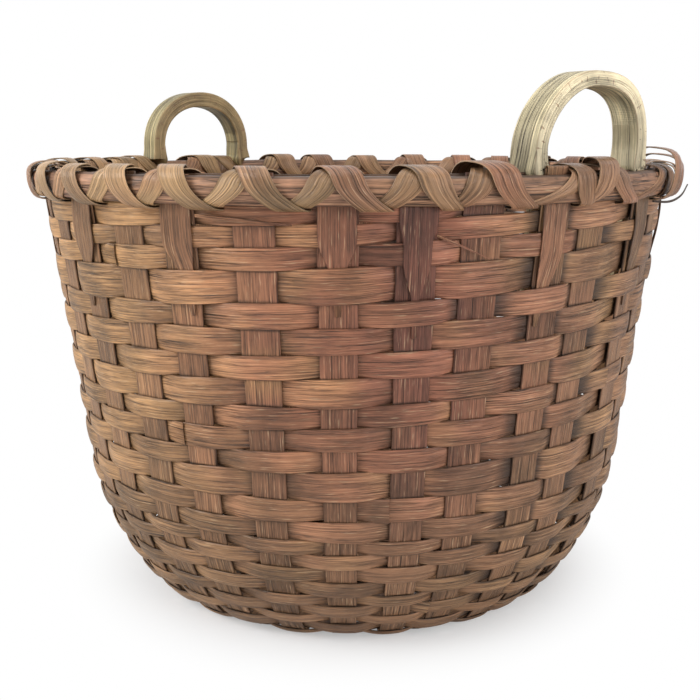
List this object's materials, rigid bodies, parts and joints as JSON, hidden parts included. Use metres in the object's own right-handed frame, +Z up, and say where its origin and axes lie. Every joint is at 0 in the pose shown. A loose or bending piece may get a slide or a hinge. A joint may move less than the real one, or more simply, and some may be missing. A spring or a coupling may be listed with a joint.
{
  "type": "gathering basket",
  "caption": "Large round plain-woven splint basket with a rounded bottom edge, half-round rim hoops under crossed lashing, and a bentwood ear handle on each side.",
  "frame": {"origin": "on the floor under the middle of the base", "axes": "+Z up through the mouth; +X towards the right handle, which stands across the X axis"},
  "size_m": [0.4886, 0.4886, 0.379],
  "materials": {
    "stake_wood": "split hardwood splint, weathered reddish brown, dull",
    "weaver_wood": "split hardwood splint, weathered brown to tan, dull with a worn sheen",
    "hoop_wood": "half-round bent hoop, weathered reddish brown",
    "lashing_wood": "thin lashing splint, golden tan, satin",
    "handle_wood": "carved and bent handle, pale tan to greenish grey, hand-worn"
  },
  "bodies": {
    "root": {"spoke_01": "stake_wood", "spoke_02": "stake_wood", "spoke_03": "stake_wood", "spoke_04": "stake_wood", "spoke_05": "stake_wood", "spoke_06": "stake_wood", "spoke_07": "stake_wood", "spoke_08": "stake_wood", "spoke_09": "stake_wood", "spoke_10": "stake_wood", "spoke_11": "stake_wood", "spoke_12": "stake_wood", "spoke_13": "stake_wood", "spoke_14": "stake_wood", "spoke_15": "stake_wood", "spoke_16": "stake_wood", "disc_weaver_1": "weaver_wood", "disc_weaver_2": "weaver_wood", "disc_weaver_3": "weaver_wood", "disc_weaver_4": "weaver_wood", "base_weaver_1": "weaver_wood", "base_weaver_2": "weaver_wood", "base_weaver_3": "weaver_wood", "wall_weaver_01": "weaver_wood", "wall_weaver_02": "weaver_wood", "wall_weaver_03": "weaver_wood", "wall_weaver_04": "weaver_wood", "wall_weaver_05": "weaver_wood", "wall_weaver_06": "weaver_wood", "wall_weaver_07": "weaver_wood", "wall_weaver_08": "weaver_wood", "wall_weaver_09": "weaver_wood", "wall_weaver_10": "weaver_wood", "wall_weaver_11": "weaver_wood", "wall_weaver_12": "weaver_wood", "wall_weaver_13": "weaver_wood", "wall_weaver_14": "weaver_wood", "wall_weaver_15": "weaver_wood", "wall_weaver_16": "weaver_wood", "wall_weaver_17": "weaver_wood", "wall_weaver_18": "weaver_wood", "wall_weaver_19": "weaver_wood", "wall_weaver_20": "weaver_wood", "wall_weaver_21": "weaver_wood", "wall_weaver_22": "weaver_wood", "filler_weaver": "weaver_wood", "outer_hoop": "hoop_wood", "inner_hoop": "hoop_wood", "under_lashing": "lashing_wood", "over_lashing": "lashing_wood", "right_handle": "handle_wood", "left_handle": "handle_wood"}
  },
  "joints": []
}
